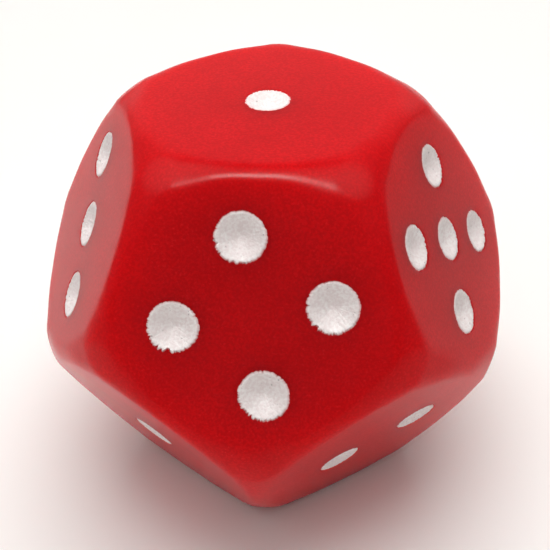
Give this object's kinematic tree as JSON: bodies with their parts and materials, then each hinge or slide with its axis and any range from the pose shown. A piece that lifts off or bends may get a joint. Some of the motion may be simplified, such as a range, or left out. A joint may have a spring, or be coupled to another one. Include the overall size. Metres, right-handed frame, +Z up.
{
  "type": "twelve-sided pipped die",
  "caption": "Regular dodecahedron game die with rounded edges and corners, solid moulded body, and shallow conical pips filled with white paint.",
  "frame": {"origin": "centre of the face that the die rests on", "axes": "+Z up through the opposite face's centre; -Y is the heading of the upper side face with the four, and +X is to its right"},
  "size_m": [0.0206, 0.0212, 0.018],
  "materials": {
    "body_plastic": "opaque red moulded plastic, tumbled to a soft gloss, with a faint mottled grain",
    "pip_paint": "matt white paint, thin and slightly uneven at the rim"
  },
  "bodies": {
    "root": {"body": "body_plastic", "pip_top_1": "pip_paint", "pip_front_1": "pip_paint", "pip_front_2": "pip_paint", "pip_front_3": "pip_paint", "pip_front_4": "pip_paint", "pip_right_1": "pip_paint", "pip_right_2": "pip_paint", "pip_right_3": "pip_paint", "pip_right_4": "pip_paint", "pip_right_5": "pip_paint", "pip_rear_right_1": "pip_paint", "pip_rear_right_2": "pip_paint", "pip_rear_right_3": "pip_paint", "pip_rear_right_4": "pip_paint", "pip_rear_right_5": "pip_paint", "pip_rear_right_6": "pip_paint", "pip_rear_left_1": "pip_paint", "pip_rear_left_2": "pip_paint", "pip_rear_left_3": "pip_paint", "pip_rear_left_4": "pip_paint", "pip_rear_left_5": "pip_paint", "pip_left_1": "pip_paint", "pip_left_2": "pip_paint", "pip_left_3": "pip_paint", "pip_lower_front_right_1": "pip_paint", "pip_lower_front_right_2": "pip_paint", "pip_lower_right_1": "pip_paint", "pip_lower_right_2": "pip_paint", "pip_lower_right_3": "pip_paint", "pip_lower_right_4": "pip_paint", "pip_lower_rear_1": "pip_paint", "pip_lower_rear_2": "pip_paint", "pip_lower_rear_3": "pip_paint", "pip_lower_left_1": "pip_paint", "pip_lower_left_2": "pip_paint", "pip_lower_front_left_1": "pip_paint", "pip_bottom_1": "pip_paint", "pip_bottom_2": "pip_paint", "pip_bottom_3": "pip_paint", "pip_bottom_4": "pip_paint", "pip_bottom_5": "pip_paint", "pip_bottom_6": "pip_paint"}
  },
  "joints": []
}
